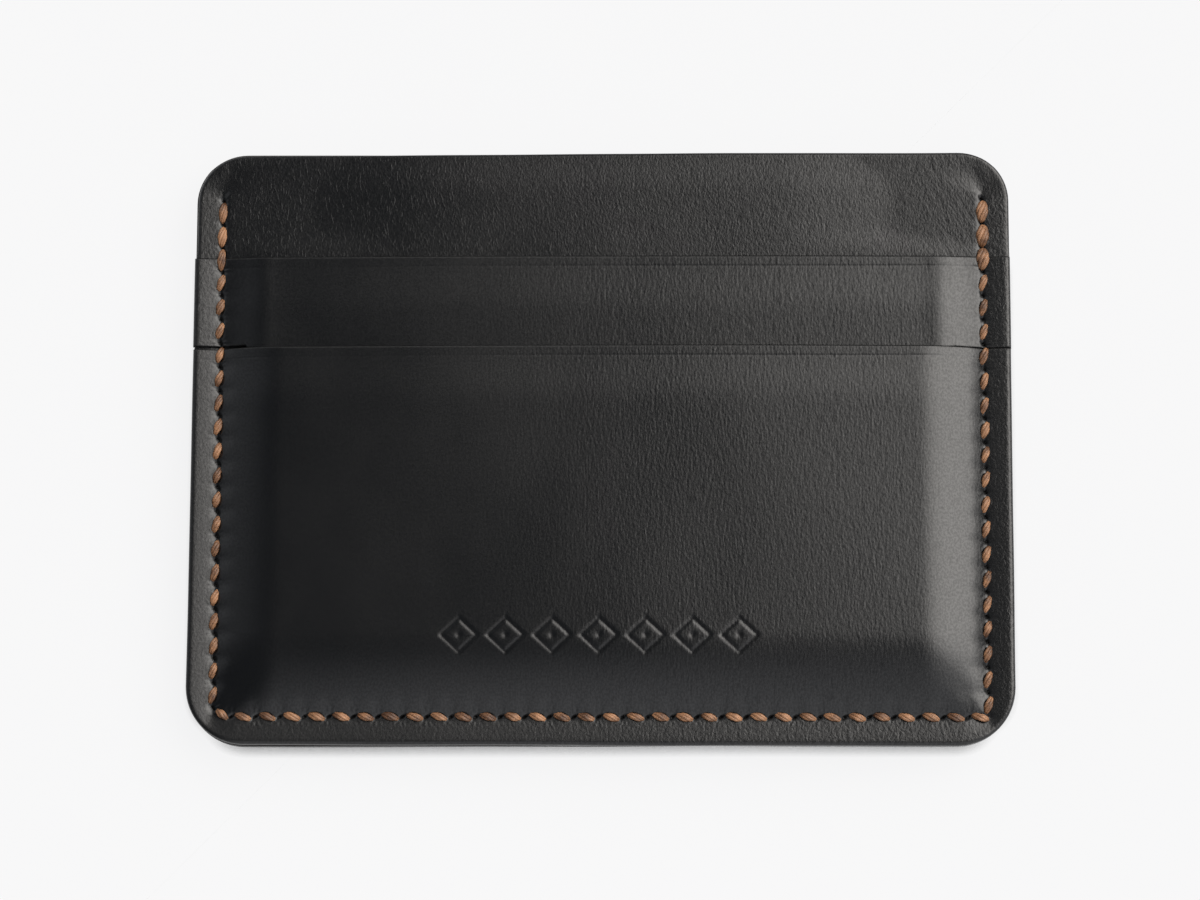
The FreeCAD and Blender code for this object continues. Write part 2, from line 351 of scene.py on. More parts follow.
def crease(x, y, mouth):
    """The pressed line beside a pocket mouth, with the slightly proud lip above it."""
    line = mouth - CREASE_DROP + 0.08 * ripple(x, 0 * y, seed=31, wavelength=40)
    pressed = 0.3 + 0.7 * smooth((x + 25) / 45) * smooth((SEAM_X + 1 - np.abs(x)) / 7)
    groove = CREASE_DEPTH * bell((y - line) / 0.1)
    lip = LIP_STAND * np.sin(math.pi * np.clip((mouth - y) / CREASE_DROP, 0, 1))
    return pressed * (groove - lip)


def lozenges(x, y):
    """Depth of the blind-pressed row of line-drawn lozenges, each with a dot in its middle."""
    index = np.clip(np.round(x / LOZENGE_PITCH), -(LOZENGES // 2), LOZENGES // 2)
    dx = np.abs(x - index * LOZENGE_PITCH)
    dy = np.abs(y - LOZENGE_ROW)
    scale = LOZENGE_HALF_WIDTH * LOZENGE_HALF_HEIGHT / math.hypot(LOZENGE_HALF_WIDTH, LOZENGE_HALF_HEIGHT)
    line = (dx / LOZENGE_HALF_WIDTH + dy / LOZENGE_HALF_HEIGHT - 1) * scale
    return LOZENGE_DEPTH * np.maximum(bell(line / LOZENGE_LINE), bell(np.hypot(dx, dy) / LOZENGE_DOT))


# Each kind of sheet: its inner face, thickness and two ends, how far it sags towards its sides, and
# how much of the valley along the seam lies on the seam's inner side.
SHEETS = {
    "panel": {
        "under": panel_under, "thickness": PANEL_THICKNESS, "mouth": TOP, "end": BOTTOM,
        "sag": 0.38, "inner_valley": 0.0,
    },
    "upper_pocket": {
        "under": upper_under, "thickness": POCKET_THICKNESS, "mouth": UPPER_MOUTH, "end": STEM_END,
        "sag": 0.38, "inner_valley": 0.35,
    },
    "lower_pocket": {
        "under": lower_under, "thickness": POCKET_THICKNESS, "mouth": LOWER_MOUTH, "end": BOTTOM,
        "sag": 0.8, "inner_valley": 0.8,
    },
}
# How far each sheet's edge stands back from the outline, since the sanded layers are not quite flush.
# The first number is for the left side, the second for the right.
EDGE_SETBACK = {
    "front_panel": (0.26, 0.08), "front_upper_pocket": (0.06, 0.04), "front_lower_pocket": (0.10, 0.06),
    "back_panel": (0.08, 0.30), "back_upper_pocket": (0.05, 0.27), "back_lower_pocket": (0.04, 0.26),
}
# How far the upper pocket's wings stop short of the lower pocket's mouth, beside the stem.
WING_GAP_LEFT = 0.28
WING_GAP_RIGHT = -0.05


def grid_lines(low, high, step, fine):
    """Grid lines from low to high about a step apart, and the fine ones exactly where given."""
    even = np.linspace(low, high, int(round((high - low) / step)) + 1)
    clear = [v for v in even if min(abs(v - f) for f in fine) > 0.3 * step]
    return np.array(sorted(set(np.round(clear + list(fine) + [low, high], 5))))


def edge_lines(edge, inward):
    """Grid lines that follow a rounded edge, from the edge inwards."""
    return [edge + inward * d for d in EDGE_STEPS]


def sheet_grid(kind, step):
    """The flat grid of a sheet before any shaping: its corners and its four-sided cells."""
    sheet = SHEETS[kind]
    crease_line = sheet["mouth"] - CREASE_DROP
    fine_x = edge_lines(-HALF_WIDTH, 1) + edge_lines(HALF_WIDTH, -1)
    fine_y = edge_lines(sheet["mouth"], -1) + edge_lines(sheet["end"], 1)
    fine_y += [crease_line + d for d in CREASE_STEPS]
    if kind == "upper_pocket":
        fine_x += [-STEM_HALF_WIDTH - STEM_EDGE_STEP, -STEM_HALF_WIDTH]
        fine_x += [STEM_HALF_WIDTH, STEM_HALF_WIDTH + STEM_EDGE_STEP]
        fine_y += edge_lines(LOWER_MOUTH, 1)
    xs = grid_lines(-HALF_WIDTH, HALF_WIDTH, step, fine_x)
    ys = grid_lines(sheet["end"], sheet["mouth"], step, fine_y)
    column, row = np.meshgrid(xs, ys, indexing="ij")
    number = np.arange(column.size).reshape(column.shape)
    cells = np.stack([number[:-1, :-1], number[1:, :-1], number[1:, 1:], number[:-1, 1:]], -1)
    if kind == "upper_pocket":
        middle_x = (xs[:-1] + xs[1:]) / 2
        middle_y = (ys[:-1] + ys[1:]) / 2
        keep = (np.abs(middle_x)[:, None] < STEM_HALF_WIDTH) | (middle_y[None, :] > LOWER_MOUTH)
        cells = cells[keep]
    cells = cells.reshape(-1, 4)
    used, cells = np.unique(cells, return_inverse=True)
    points = np.stack([column.ravel(), row.ravel()], -1)[used]
    return points, cells.reshape(-1, 4)


def refined(points, cells, zones):
    """Halve the grid inside each zone in turn. The sheet's own outline keeps its corners."""
    flat = bpy.data.meshes.new("flat")
    flat.from_pydata(np.c_[points, np.zeros(len(points))].tolist(), [], cells.tolist())
    bm = bmesh.new()
    bm.from_mesh(flat)
    for zone in zones:
        bm.verts.ensure_lookup_table()
        places = np.array([v.co[:2] for v in bm.verts])
        bm.verts.index_update()
        inside = zone(places[:, 0], places[:, 1])
        edges = [edge for edge in bm.edges
                 if not edge.is_boundary and all(inside[vert.index] for vert in edge.verts)]
        bmesh.ops.subdivide_edges(bm, edges=edges, cuts=1, use_grid_fill=True)
    bm.verts.ensure_lookup_table()
    bm.verts.index_update()
    fine_points = np.array([v.co[:2] for v in bm.verts])
    fine_cells = [[v.index for v in f.verts] for f in bm.faces]
    bm.free()
    bpy.data.meshes.remove(flat)
    return fine_points, fine_cells


def near_ornament(x, y):
    """Whether a place is in the zone of the pressed row of lozenges."""
    along_row = np.abs(x) < LOZENGES * LOZENGE_PITCH / 2 + 0.5
    level_with_row = np.abs(y - LOZENGE_ROW) < LOZENGE_HALF_HEIGHT + 0.9
    return along_row & level_with_row


def fine_zone(name, width):
    """Where a sheet needs a finer grid: within width of the seam line, and on the lozenges."""
    def zone(x, y):
        inside = (np.abs(seam_inset(x, y)) < width) & (y < SEAM_TOP + 1.5)
        if name == ORNAMENTED:
            inside = inside | near_ornament(x, y)
        return inside
    return zone


def on_outline(points):
    """Bend the square grid's corners onto the rounded outline."""
    x, y = points[:, 0], points[:, 1]
    radius = corner_radius(y)
    a = (np.abs(x) - (HALF_WIDTH - radius)) / radius
    b = (np.abs(y) - (TOP - radius)) / radius
    corner = (a > 0) & (b > 0)
    shrink = np.where(corner, np.maximum(a, b) / np.maximum(np.hypot(a, b), 1e-9), 1)
    new_x = np.where(corner, np.sign(x) * (HALF_WIDTH - radius + a * shrink * radius), x)
    new_y = np.where(corner, np.sign(y) * (TOP - radius + b * shrink * radius), y)
    return np.stack([new_x, new_y], -1)


def laid_out(name, kind, points):
    """Where the grid's corners lie once the sheet is cut, sanded and sewn."""
    placed = on_outline(points)
    x, y = placed[:, 0], placed[:, 1]
    distance, out_x, out_y = outline_distance(x, y)
    # A seed of the sheet's own, so that no two edges wander alike.
    seed = len(name) + sum(map(ord, name)) % 50
    left, right = EDGE_SETBACK[name]
    setback = left + (right - left) * smooth((x + 30) / 60) + 0.03 * (1 + ripple(x, y, seed, 22))
    shift = -setback * smooth(1 - distance / 2.5)
    mouth = SHEETS[kind]["mouth"]
    wave = 0.04 * (ripple(x, 0 * y, seed + 1, 45) - 1) * smooth(1 - (mouth - y) / 2)
    if kind == "upper_pocket":
        beside_stem = (np.abs(x) > STEM_HALF_WIDTH + 0.05) & (y < LOWER_MOUTH + 2)
        gap = np.where(x < 0, WING_GAP_LEFT, WING_GAP_RIGHT)
        wave = wave + beside_stem * gap * smooth(1 - (y - LOWER_MOUTH) / 2)
    return x + out_x * shift, y + out_y * shift + wave


def own_edge_distance(kind, x, y):
    """Distance in from the sheet's free edges: its mouth, and a stem's sides and lower end."""
    distance = SHEETS[kind]["mouth"] - y
    if kind == "upper_pocket":
        stem = np.minimum(STEM_HALF_WIDTH - np.abs(x), y - STEM_END)
        wing = np.hypot(np.maximum(y - LOWER_MOUTH, 0), np.maximum(STEM_HALF_WIDTH - np.abs(x), 0))
        distance = np.minimum(distance, np.where(y < LOWER_MOUTH, stem, wing))
    return np.maximum(distance, 0)


def sheet_heights(name, kind, flat, x, y):
    """Heights of a sheet's outer and inner faces above the middle plane."""
    sheet = SHEETS[kind]
    kept = 1 - squeeze(x, y, sheet["inner_valley"])
    under = np.maximum((sheet["under"](x, y) - sag(kind, x, y)) * kept, 0)
    face = under + sheet["thickness"] * kept
    placed = on_outline(flat)
    outer_edge = np.maximum(outline_distance(placed[:, 0], placed[:, 1])[0], 0)
    free_edge = own_edge_distance(kind, flat[:, 0], flat[:, 1])
    raised = lift(seam_inset(x, y), 6)
    visible = 1.0
    edge_radius = 0.5
    if kind == "panel":
        visible = smooth((y - UPPER_MOUTH + 0.6) / 0.5)
        edge_radius = 0.10 + 0.3 * smooth((y - UPPER_MOUTH) / 0.8)
    face = face - round_over(outer_edge, edge_radius) - round_over(free_edge, 0.2)
    face = face + raised * 0.025 * (ripple(x, y, len(name), 26) - 1)
    face = face + visible * radiating_wrinkles(x, y)
    face = face - visible * SLIT_DEPTH_SHARE * (face - under) * slit_shape(x, y) * seam_presence(y)
    if kind != "panel":
        face = face - crease(x, y, sheet["mouth"])
    if name == ORNAMENTED:
        face = face - lozenges(x, y)
    under = under + round_over(outer_edge, 0.05) + round_over(free_edge, 0.12)
    return face, under


def shell_mesh(name, top, top_cells, bottom, bottom_cells, upwards):
    """A closed shell from an outer face, an inner face and the walls between their outlines.

    Both faces share the numbering of the first corners, which is how the walls find them."""
    count = len(top)
    faces = [list(cell) for cell in top_cells]
    faces += [[count + i for i in reversed(cell)] for cell in bottom_cells]
    directed = np.stack([bottom_cells, np.roll(bottom_cells, -1, axis=1)], -1).reshape(-1, 2)
    existing = set(map(tuple, directed.tolist()))
    outline = [(a, b) for a, b in existing if (b, a) not in existing]
    walls = [[b, a, count + a, count + b] for a, b in sorted(outline)]
    slots = [0] * len(top_cells) + [1] * len(bottom_cells) + [2] * len(walls)
    faces += walls
    points = np.concatenate([top, bottom])
    if not upwards:
        points = points * (1, 1, -1)
        faces = [face[::-1] for face in faces]
    points = (points + (0, 0, MIDDLE)) * MM
    mesh = bpy.data.meshes.new(name)
    mesh.from_pydata(points.tolist(), [], faces)
    mesh.polygons.foreach_set("material_index", slots)
    mesh.polygons.foreach_set("use_smooth", [True] * len(faces))
    mesh.set_sharp_from_angle(angle=math.radians(55))
    mesh.update()
    return mesh


def store(mesh, name, values):
    """Keep a number per corner of the mesh, for its material to read."""
    layer = mesh.attributes.new(name, "FLOAT", "POINT")
    layer.data.foreach_set("value", np.asarray(values, np.float32))


def leather_sheet(name, kind, materials):
    """Build one leather sheet and let it stand for its CAD node."""
    coarse, cells = sheet_grid(kind, GRID_STEP)
    fine, fine_cells = refined(coarse, cells, [fine_zone(name, width) for width in FINE_ZONES])
    shaped = []
    for flat in (fine, coarse):
        x, y = laid_out(name, kind, flat)
        shaped.append((x, y, *sheet_heights(name, kind, flat, x, y)))
    x, y, face, _ = shaped[0]
    coarse_x, coarse_y, _, under = shaped[1]
    outer = np.stack([x, y, face], -1)
    inner = np.stack([coarse_x, coarse_y, under], -1)
    mesh = shell_mesh(name, outer, fine_cells, inner, cells, name.startswith("front"))
    inset = np.concatenate([seam_inset(x, y), seam_inset(coarse_x, coarse_y)])
    both_x = np.concatenate([x, coarse_x])
    both_y = np.concatenate([y, coarse_y])
    on_seam = seam_presence(both_y)
    store(mesh, "border", smooth(-inset / 0.5 + 0.3) * on_seam)
    # The slits, which the material paints near black as shade.
    store(mesh, "slit", slit_shape(both_x, both_y) * on_seam)
    store(mesh, "pull", bell(inset / 1.2) * on_seam)
    flat = np.concatenate([fine, coarse])
    # The free edges, which the material paints near black as edge paint and painted shade.
    store(mesh, "lip", bell(own_edge_distance(kind, flat[:, 0], flat[:, 1]) / 0.17))
    for material in materials:
        mesh.materials.append(material)
    piece = bpy.data.objects.new(name + "_leather", mesh)
    bpy.context.scene.collection.objects.link(piece)
    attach(piece, "root")
    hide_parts(name)


# ---------------------------------------------------------------- thread

def ply_tube(centres, sideways, upwards, radii, sides):
    """Points and faces of a closed tube with an elliptical section round a line of centres."""
    turn = np.arange(sides) * 2 * math.pi / sides
    ring = np.cos(turn)[None, :, None] * sideways[:, None, :] * radii[:, None, None]
    ring = ring + np.sin(turn)[None, :, None] * upwards[:, None, :] * radii[:, None, None]
    points = (centres[:, None, :] + ring).reshape(-1, 3)
    faces = []
    for i in range(len(centres) - 1):
        for j in range(sides):
            k = (j + 1) % sides
            faces.append([i * sides + j, i * sides + k, (i + 1) * sides + k, (i + 1) * sides + j])
    last = (len(centres) - 1) * sides
    faces.append([j for j in reversed(range(sides))])
    faces.append([last + j for j in range(sides)])
    return points, faces


def stitch(start, end, level, depth, arch, width, twist, plies, rings=17, sides=8):
    """One stitch of twisted plies, from the middle of the leather up, over and down again.

    start and end are (x, y) places, level is the height of the leather's face there, and depth is
    how far down into the hole the thread runs."""
    start = np.array([*start, 0.0])
    end = np.array([*end, 0.0])
    length = np.linalg.norm(end - start)
    ahead = (end - start) / length
    side = np.array([-ahead[1], ahead[0], 0.0])
    t = np.linspace(0, 1, rings)
    over = np.clip((t - PLUNGE_SHARE) / (1 - 2 * PLUNGE_SHARE), 0, 1)
    plunge = np.clip(PLUNGE_SHARE - np.minimum(t, 1 - t), 0, 1) / PLUNGE_SHARE
    swell = np.sin(math.pi * over) ** SWELL_POWER
    height = level + arch * swell - depth * plunge - SHOULDER_DROP * (1 - swell)
    centre = start + np.outer(over * length, ahead) + np.outer(height, [0, 0, 1.0])
    tangent = np.gradient(centre, axis=0)
    tangent /= np.linalg.norm(tangent, axis=1)[:, None]
    up = np.cross(tangent, side)
    up /= np.linalg.norm(up, axis=1)[:, None]
    sideways = np.tile(side, (rings, 1))
    fat = THIN_SHARE + SWOLLEN_SHARE * swell
    ply_share = PLY_RADIUS_SHARE / plies + PLY_OVERLAP
    tubes = []
    for k in range(plies):
        turn = 2 * math.pi * k / plies + twist + PLY_TURN * (over - 0.5)
        spread = (PLY_SPREAD - ply_share) * width * fat
        line = centre + sideways * (np.cos(turn) * spread)[:, None]
        line = line + up * (np.sin(turn) * spread * SPREAD_FLATNESS)[:, None]
        tubes.append(ply_tube(line, sideways, up * PLY_FLATNESS, ply_share * width * fat, sides))
    return tubes


def joined(name, tubes, upwards, material):
    """One mesh piece from many tubes, mirrored for the back of the holder where asked."""
    points = []
    faces = []
    for (tube_points, tube_faces), up in zip(tubes, upwards):
        base = sum(map(len, points))
        if not up:
            tube_points = tube_points * (1, 1, -1)
            tube_faces = [face[::-1] for face in tube_faces]
        points.append(tube_points)
        faces += [[base + i for i in face] for face in tube_faces]
    mesh = bpy.data.meshes.new(name)
    mesh.from_pydata(((np.concatenate(points) + (0, 0, MIDDLE)) * MM).tolist(), [], faces)
    mesh.polygons.foreach_set("use_smooth", [True] * len(faces))
    mesh.materials.append(material)
    mesh.update()
    piece = bpy.data.objects.new(name, mesh)
    bpy.context.scene.collection.objects.link(piece)
    return piece


def seam_stitches():
    """Start, end and doubling of every stitch on a face of the seam."""
    side_x = SLIT_HALF_LENGTH * math.sin(SIDE_SLIT_ANGLE)
    side_y = SLIT_HALF_LENGTH * math.cos(SIDE_SLIT_ANGLE)
    run_x = SLIT_HALF_LENGTH * math.cos(BOTTOM_SLIT_ANGLE)
    run_y = SLIT_HALF_LENGTH * math.sin(BOTTOM_SLIT_ANGLE)
    for x in (-SEAM_X, SEAM_X):
        holes = side_holes(x)
        for i in range(SIDE_STITCHES):
            doubled = i >= SIDE_STITCHES - DOUBLED_STITCHES
            lean = side_x * (0.3 if doubled else 1.0)
            short = side_y + (-0.22 if doubled else 0.05)
            yield (x + lean, holes[i + 1] - short), (x - lean, holes[i] + short), doubled
    places = bottom_holes()
    for i in range(BOTTOM_STITCHES):
        first_rise = LEFT_FOOT_RISE / 2 if i == 0 else 0.0
        start = (places[i] + run_x, SEAM_BOTTOM + run_y + first_rise)
        end = (places[i + 1] - run_x, SEAM_BOTTOM - run_y)
        yield start, end, False


def seam_face_height(x, y):
    """Height of the sewn leather's outer face at a place on the seam."""
    full = PANEL_THICKNESS if y > UPPER_MOUTH else PANEL_THICKNESS + POCKET_THICKNESS
    return full * (1 - SEAM_SQUEEZE * valley_depth(x, y))


def saddle_stitch(material):
    """The waxed thread of the U-shaped seam, seen on both faces."""
    draw = np.random.default_rng(STITCH_SEED)
    tubes = []
    upwards = []
    for face in (True, False):
        for start, end, doubled in seam_stitches():
            middle = (start[0], (start[1] + end[1]) / 2)
            level = max(seam_face_height(*place) for place in (middle, start, end))
            start = np.array(start) + draw.uniform(-PLACE_JITTER, PLACE_JITTER, 2)
            end = np.array(end) + draw.uniform(-PLACE_JITTER, PLACE_JITTER, 2)
            width = draw.uniform(*STITCH_WIDTHS)
            plies = STITCH_PLIES
            if doubled:
                width *= DOUBLED_WIDER_LEFT if start[0] < 0 else DOUBLED_WIDER_RIGHT
                plies = DOUBLED_PLIES
            arch = draw.uniform(*STITCH_ARCHES)
            twist = draw.uniform(-STITCH_TWIST, STITCH_TWIST)
            made = stitch(start, end, level, depth=level, arch=arch, width=width, twist=twist, plies=plies)
            tubes += made
            upwards += [face] * len(made)
    piece = joined("saddle_stitch", tubes, upwards, material)
    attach(piece, "root")
    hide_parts("saddle_stitch_thread")


def hem_stitch(side, material):
    """The short straight seam inside the holder that holds an upper pocket's hem."""
    y = (hem_low[1] + hem_high[1]) / 2
    first = hem_low[0] + THREAD_OVERRUN
    last = hem_high[0] - THREAD_OVERRUN
    places = np.linspace(first, last, HEM_STITCHES + 1)
    shortening = 0.3
    tubes = []
    for a, b in zip(places, places[1:]):
        tubes += stitch((a + shortening, y), (b - shortening, y), PANEL_FACE + POCKET_THICKNESS,
                        depth=1.2, arch=0.06, width=0.6, twist=0.0, plies=3, rings=11, sides=6)
    piece = joined(side + "_hem_stitch", tubes, [side == "front"] * len(tubes), material)
    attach(piece, "root")
    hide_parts(side + "_hem_thread")


# ---------------------------------------------------------------- materials

# The size in millimetres of a pattern cell so tall that the pattern hardly changes with height.
TALL = 40
LEATHER_DARK = (0.0028, 0.0031, 0.0036, 1)
LEATHER_PALE = (0.0048, 0.0048, 0.0050, 1)
LEATHER_BORDER = (0.008, 0.0078, 0.0076, 1)
# Near black: painted shade in the thread's slits, and dark edge paint with painted shade along the free
# edges.
LEATHER_SHADE_AND_EDGE_PAINT = (0.0008, 0.0007, 0.0006, 1)


class Shader:
    """A material whose nodes are added by calls that return output sockets."""

    def __init__(self, name):
        self.material = bpy.data.materials.new(name)
        self.material.use_nodes = True
        self.tree = self.material.node_tree
        self.surface = self.tree.nodes["Principled BSDF"]
        self.place = self.node("ShaderNodeTexCoord").outputs["Object"]

    def node(self, kind, inputs=None, **settings):
        """Add a node, with its settings and with values or sockets for its inputs."""
        made = self.tree.nodes.new(kind)
        for key, value in settings.items():
            setattr(made, key, value)
        for key, value in (inputs or {}).items():
            self.plug(made.inputs[key], value)
        return made

    def plug(self, socket, value):
        """Link a socket to an input, or set the input's own value."""
        if isinstance(value, bpy.types.NodeSocket):
            self.tree.links.new(value, socket)
        else:
            socket.default_value = value

    def sum(self, *values):
        """Add up any number of values."""
        total = values[0]
        for value in values[1:]:
            total = self.math("ADD", total, value)
        return total

    def math(self, operation, first, second=0.0, third=0.0):
        """Apply one of the maths node's operations."""
        made = self.node("ShaderNodeMath", {0: first, 1: second, 2: third}, operation=operation)
        return made.outputs[0]

    def times(self, first, second):
        """Multiply two values."""
        return self.math("MULTIPLY", first, second)

    def step(self, value, low, high, to_low=0.0, to_high=1.0):
        """A smooth change from to_low to to_high while the value goes from low to high."""
        made = self.node("ShaderNodeMapRange", {"Value": value, 1: low, 2: high, 3: to_low, 4: to_high},
                         interpolation_type="SMOOTHSTEP")
        return made.outputs[0]

    def scaled(self, cell_x, cell_y, cell_z, offset=(0.0, 0.0, 0.0), turn=0.0):
        """Coordinates in which a cell of the given size in millimetres is one unit, and whose
        upright direction leans to the left by the given turn."""
        turned = self.place
        if turn:
            turned = self.node("ShaderNodeMapping", {"Vector": turned, "Rotation": (0, 0, -turn)}).outputs[0]
        scale = (1 / (cell_x * MM), 1 / (cell_y * MM), 1 / (cell_z * MM))
        made = self.node("ShaderNodeMapping", {"Vector": turned, "Scale": scale, "Location": offset})
        return made.outputs[0]

    def noise(self, vector, detail=2.0, distortion=0.0, roughness=0.5):
        """A cloudy pattern between 0 and 1, in cells of the vector's size."""
        inputs = {"Vector": vector, "Scale": 1.0, "Detail": detail,
                  "Roughness": roughness, "Distortion": distortion}
        return self.node("ShaderNodeTexNoise", inputs).outputs["Fac"]

    def cracks(self, vector, width):
        """1 along the borders of irregular cells, falling to 0 inside them."""
        made = self.node("ShaderNodeTexVoronoi", {"Vector": vector, "Scale": 1.0}, feature="DISTANCE_TO_EDGE")
        return self.step(made.outputs["Distance"], 0.0, width, 1.0, 0.0)

    def threads(self, vector, width, distortion):
        """1 along wandering thin lines."""
        away = self.math("ABSOLUTE", self.math("SUBTRACT", self.noise(vector, 1.5, distortion), 0.5))
        return self.step(away, 0.0, width, 1.0, 0.0)

    def attribute(self, name):
        """A number that the mesh keeps for each corner."""
        return self.node("ShaderNodeAttribute", attribute_name=name).outputs["Fac"]

    def mix(self, factor, first, second):
        """A colour between two others."""
        made = self.node("ShaderNodeMix", {"Factor": factor, 6: first, 7: second}, data_type="RGBA")
        return made.outputs[2]

    def bump(self, height, strength=1.0):
        """Perturb the surface by a height in metres."""
        made = self.node("ShaderNodeBump", {"Height": height, "Distance": 1.0, "Strength": strength})
        self.plug(self.surface.inputs["Normal"], made.outputs["Normal"])

    def set(self, **values):
        """Set the surface's inputs by name, with underscores for spaces."""
        for key, value in values.items():
            self.plug(self.surface.inputs[key.replace("_", " ")], value)


def grain_leather(name, seed, kind):
    """The smooth black outer face: pores, vertical wrinkles, crackle beside the seam, and painted shade."""
    shader = Shader(name)
    offset = (seed * 3.7, seed * 1.9, seed * 5.3)
    split = shader.node("ShaderNodeSeparateXYZ", {0: shader.place})
    x = split.outputs["X"]
    y = split.outputs["Y"]
    border = shader.attribute("border")
    slit = shader.attribute("slit")
    pull = shader.attribute("pull")
    lip = shader.attribute("lip")
    patches = shader.noise(shader.scaled(14, 22, 14, offset), 3.0)
    pores = shader.noise(shader.scaled(0.22, 0.30, TALL, offset), 0.5)
    if kind == "panel":
        wrinkles, grooves = panel_wrinkles(shader, x, offset)
    else:
        wrinkles, grooves = pocket_wrinkles(shader, x, patches, offset)
    crackle = shader.cracks(shader.scaled(0.50, 0.7, TALL, offset), 0.3)
    crumple = shader.noise(shader.scaled(0.42, 0.6, TALL, offset), 2.5, 0.6)
    crumpled = shader.sum(shader.step(x, -0.030, 0.030, 0.30, 0.80), shader.step(y, 0.0, 0.030, 0.0, 0.30))
    beside = shader.times(shader.math("MAXIMUM", border, shader.times(pull, 0.4)), crumpled)
    sewn = shader.sum(shader.times(crackle, -0.006 * MM), shader.times(crumple, 0.060 * MM))
    height = shader.sum(shader.times(wrinkles, shader.step(border, 0.0, 1.0, 1.0, 0.4)),
                        shader.times(sewn, beside), shader.times(pores, 0.0016 * MM),
                        shader.times(patches, 0.03 * MM))
    shader.bump(height)
    # Painted shade: the slits and the free edges are coloured near black and lose most of their gloss. Along
    # the free edges this also stands for dark edge paint.
    shade_and_edge_paint = shader.math("MAXIMUM", slit, shader.times(lip, 0.9))
    colour = shader.mix(patches, LEATHER_DARK, LEATHER_PALE)
    colour = shader.mix(shader.times(border, 0.5), colour, LEATHER_BORDER)
    colour = shader.mix(shade_and_edge_paint, colour, LEATHER_SHADE_AND_EDGE_PAINT)
    roughness = shader.sum(shader.step(patches, 0.3, 0.7, 0.20, 0.235), shader.times(pores, 0.03),
                           shader.times(border, 0.08), shader.times(slit, 0.3), shader.times(lip, 0.35))
    # Painted shade: the gloss is also dimmed in the grooves and furrows so that they read dark.
    gloss = shader.times(shader.step(shade_and_edge_paint, 0.2, 1.0, 0.5, 0.1), shader.step(grooves, 0.0, 1.0, 1.0, 0.6))
    gloss = shader.times(gloss, shader.step(pores, 0.3, 0.7, 0.86, 1.14))
    shader.set(Base_Color=colour, Roughness=roughness, IOR=1.5, Specular_IOR_Level=gloss)
    return shader.material


def panel_wrinkles(shader, x, offset):
    """Wavy upright ridges that give way to fine pebbling, and creases sweeping to the right seam.

    Returns the relief, and how deep in a groove each place lies, for the painted shade in the grooves."""
    right = shader.step(x, -0.030, 0.020)
    lines = shader.threads(shader.scaled(0.66, 1.7, TALL, offset), 0.07, 0.4)
    broken = shader.step(shader.noise(shader.scaled(0.5, 0.9, TALL, offset), 1.0), 0.36, 0.54)
    ridges = shader.times(shader.times(lines, broken), shader.step(right, 0.0, 1.0, 1.0, 0.3))
    pebbles = shader.noise(shader.scaled(0.22, 0.36, TALL, offset), 1.0, 0.2)
    pebbling = shader.times(pebbles, shader.step(right, 0.0, 1.0, 0.6, 1.0))
    furrows = shader.step(shader.noise(shader.scaled(0.40, 1.2, TALL, offset), 2.0, 0.4), 0.52, 0.64)
    swept = shader.noise(shader.scaled(0.50, 3.2, TALL, offset, math.radians(32)), 2.0, 0.3)
    sweep_zone = shader.times(shader.step(x, 0.037, 0.043), shader.step(x, 0.0445, 0.047, 1.0, 0.0))
    relief = shader.sum(shader.times(ridges, 0.005 * MM), shader.times(pebbling, 0.020 * MM),
                        shader.times(shader.times(furrows, right), -0.004 * MM),
                        shader.times(shader.times(swept, sweep_zone), 0.024 * MM))
    return relief, shader.times(shader.times(furrows, right), 0.4)


def pocket_wrinkles(shader, x, patches, offset):
    """Fine upright wrinkles over the right half of a pocket, calmer again near the right seam.

    Returns the relief, and how deep in a furrow each place lies, for the painted shade in the furrows."""
    right = shader.step(x, -0.022, 0.010, 0.12, 1.0)
    calm = shader.step(x, 0.034, 0.045, 1.0, 0.6)
    creased = shader.times(right, calm)
    bark = shader.noise(shader.scaled(0.28, 0.46, TALL, offset), 1.0, 0.2)
    furrows = shader.noise(shader.scaled(0.36, 1.4, TALL, offset), 1.5, 0.3)
    deep = shader.step(furrows, 0.50, 0.72)
    relief = shader.sum(shader.times(shader.times(bark, creased), 0.013 * MM),
                        shader.times(shader.times(furrows, creased), -0.016 * MM))
    return relief, shader.times(shader.times(deep, creased), 0.5)


def flesh_leather():
    """The napped inner side of the leather, dyed through."""
    shader = Shader("flesh_side")
    nap = shader.noise(shader.scaled(0.25, 0.4, 0.3), 5.0, 0.8, 0.7)
    patches = shader.noise(shader.scaled(5, 7, 5), 3.0)
    colour = shader.mix(nap, (0.012, 0.011, 0.010, 1), (0.045, 0.040, 0.036, 1))
    shader.bump(shader.sum(shader.times(nap, 0.09 * MM), shader.times(patches, 0.05 * MM)))
    shader.set(Base_Color=colour, Roughness=shader.step(nap, 0.2, 0.8, 0.8, 0.98), IOR=1.4)
    return shader.material


def burnished_edge():
    """The sanded, waxed and painted edge of the stacked leather."""
    shader = Shader("burnished_edge")
    streaks = shader.noise(shader.scaled(2.4, 2.4, 0.16), 3.0, 0.4)
    specks = shader.noise(shader.scaled(0.35, 0.35, 0.2), 3.0)
    colour = shader.mix(streaks, (0.028, 0.029, 0.031, 1), (0.055, 0.056, 0.058, 1))
    shader.bump(shader.sum(shader.times(streaks, 0.05 * MM), shader.times(specks, 0.02 * MM)))
    shader.set(Base_Color=colour, Roughness=shader.step(specks, 0.3, 0.7, 0.32, 0.5), IOR=1.5)
    return shader.material


